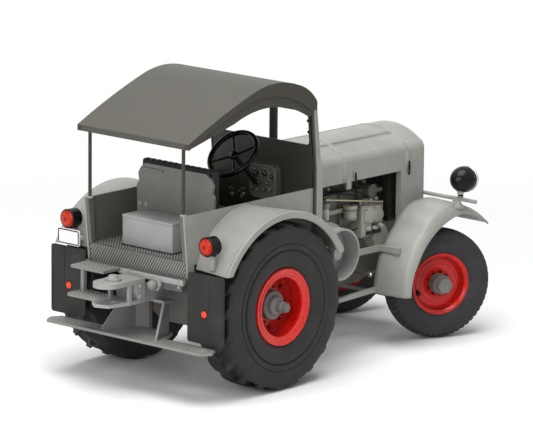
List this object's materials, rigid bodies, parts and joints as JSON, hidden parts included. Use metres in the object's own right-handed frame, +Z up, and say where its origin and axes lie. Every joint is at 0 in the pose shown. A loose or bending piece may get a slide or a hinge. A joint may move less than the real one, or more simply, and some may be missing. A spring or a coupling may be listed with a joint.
{
  "type": "scale model of a vintage road and farm tractor with weather roof",
  "caption": "Collector's scale model of a vintage grey tractor with red wheels, an arched weather roof, an open engine side and a rear step board.",
  "frame": {"origin": "on the surface it stands on, below the middle of its overall box", "axes": "+X forward, +Y to the driver's left, +Z up"},
  "size_m": [0.206, 0.0982, 0.1244],
  "materials": {
    "grey_paint": "satin",
    "engine_grey": "satin",
    "roof_fabric_grey": "matte",
    "red_paint": "gloss",
    "black_rubber": "matte",
    "flap_rubber": "matte",
    "bronze_post": "satin",
    "black_gloss": "gloss",
    "dark_metal": "satin",
    "lamp_red": "gloss",
    "plate_white": "satin",
    "brass": "satin",
    "seat_black": "matte"
  },
  "bodies": {
    "chassis": {"rear_axle_housing": "engine_grey", "gearbox_housing": "engine_grey", "engine_block": "engine_grey", "front_carrier": "engine_grey", "front_axle_beam": "grey_paint", "cab_floor": "grey_paint", "tub_side_right": "grey_paint", "tub_side_left": "grey_paint", "front_wall": "grey_paint", "dashboard": "dark_metal", "steering_column": "black_gloss", "hood": "grey_paint", "radiator_cowl": "grey_paint", "radiator_grille": "dark_metal", "rear_mudguard_right": "grey_paint", "rear_mudguard_left": "grey_paint", "mud_flap_right": "flap_rubber", "mud_flap_left": "flap_rubber", "tail_lamp_right": "lamp_red", "tail_lamp_left": "lamp_red", "front_mudguard_right": "grey_paint", "front_mudguard_left": "grey_paint", "lamp_bar": "grey_paint", "headlamp_right": "black_gloss", "headlamp_left": "black_gloss", "roof": "roof_fabric_grey", "roof_post_right": "bronze_post", "roof_post_left": "bronze_post", "seat_base": "grey_paint", "seat_cushion": "seat_black", "seat_back": "grey_paint", "toolbox": "grey_paint", "tow_hitch": "grey_paint", "hitch_pin": "grey_paint", "mounting_steps": "grey_paint", "step_board": "grey_paint", "belt_pulley": "grey_paint", "exhaust_pipe": "dark_metal", "injection_pump": "engine_grey", "fuel_filters": "engine_grey", "water_pipe": "dark_metal", "throttle_rod": "brass", "radiator_core": "dark_metal", "gear_levers": "dark_metal", "number_plate": "plate_white", "mudguard_stay_right": "grey_paint", "mudguard_stay_left": "grey_paint"},
    "rear_wheel_right": {"rear_wheel_right": "red_paint", "rear_tyre_right": "black_rubber"},
    "rear_wheel_left": {"rear_wheel_left": "red_paint", "rear_tyre_left": "black_rubber"},
    "knuckle_right": {"knuckle_right": "grey_paint"},
    "knuckle_left": {"knuckle_left": "grey_paint"},
    "front_wheel_right": {"front_wheel_right": "red_paint", "front_tyre_right": "black_rubber"},
    "front_wheel_left": {"front_wheel_left": "red_paint", "front_tyre_left": "black_rubber"},
    "tie_rod": {"tie_rod": "grey_paint"},
    "steering_wheel": {"steering_wheel": "black_gloss"}
  },
  "joints": [
    {"name": "rear_wheel_right_spin", "type": "hinge", "parent": "chassis", "child": "rear_wheel_right", "pos_m": [-0.04242, -0.0389, 0.035], "axis": [0, 1, 0], "continuous": true},
    {"name": "rear_wheel_left_spin", "type": "hinge", "parent": "chassis", "child": "rear_wheel_left", "pos_m": [-0.04242, 0.0389, 0.035], "axis": [0, 1, 0], "continuous": true},
    {"name": "steer_right", "type": "hinge", "parent": "chassis", "child": "knuckle_right", "pos_m": [0.07758, -0.0236, 0.02335], "axis": [0, 0, 1], "range_deg": [-11.75, 58.25]},
    {"name": "steer_left", "type": "hinge", "parent": "chassis", "child": "knuckle_left", "pos_m": [0.07758, 0.0236, 0.02335], "axis": [0, 0, 1], "range_deg": [-11.75, 58.25]},
    {"name": "front_wheel_right_spin", "type": "hinge", "parent": "knuckle_right", "child": "front_wheel_right", "pos_m": [0.07474, -0.03021, 0.02385], "axis": [0.3947, 0.9188, 0], "continuous": true},
    {"name": "front_wheel_left_spin", "type": "hinge", "parent": "knuckle_left", "child": "front_wheel_left", "pos_m": [0.08042, 0.03021, 0.02385], "axis": [0.3947, 0.9188, 0], "continuous": true},
    {"name": "tie_rod_pivot", "type": "hinge", "parent": "knuckle_right", "child": "tie_rod", "pos_m": [0.06839, -0.01965, 0.017], "axis": [0, 0, 1], "range_deg": [-58.25, 11.75]},
    {"name": "steering_wheel_turn", "type": "hinge", "parent": "chassis", "child": "steering_wheel", "pos_m": [-0.02222, 0, 0.0895], "axis": [-0.7071, 0, 0.7071], "range_deg": [-58.75, 291.25]}
  ],
  "couplings": [
    {"joint": "steer_left", "follows": "steer_right", "ratio": 1},
    {"joint": "tie_rod_pivot", "follows": "steer_right", "ratio": -1},
    {"joint": "steering_wheel_turn", "follows": "steer_right", "ratio": 5}
  ]
}
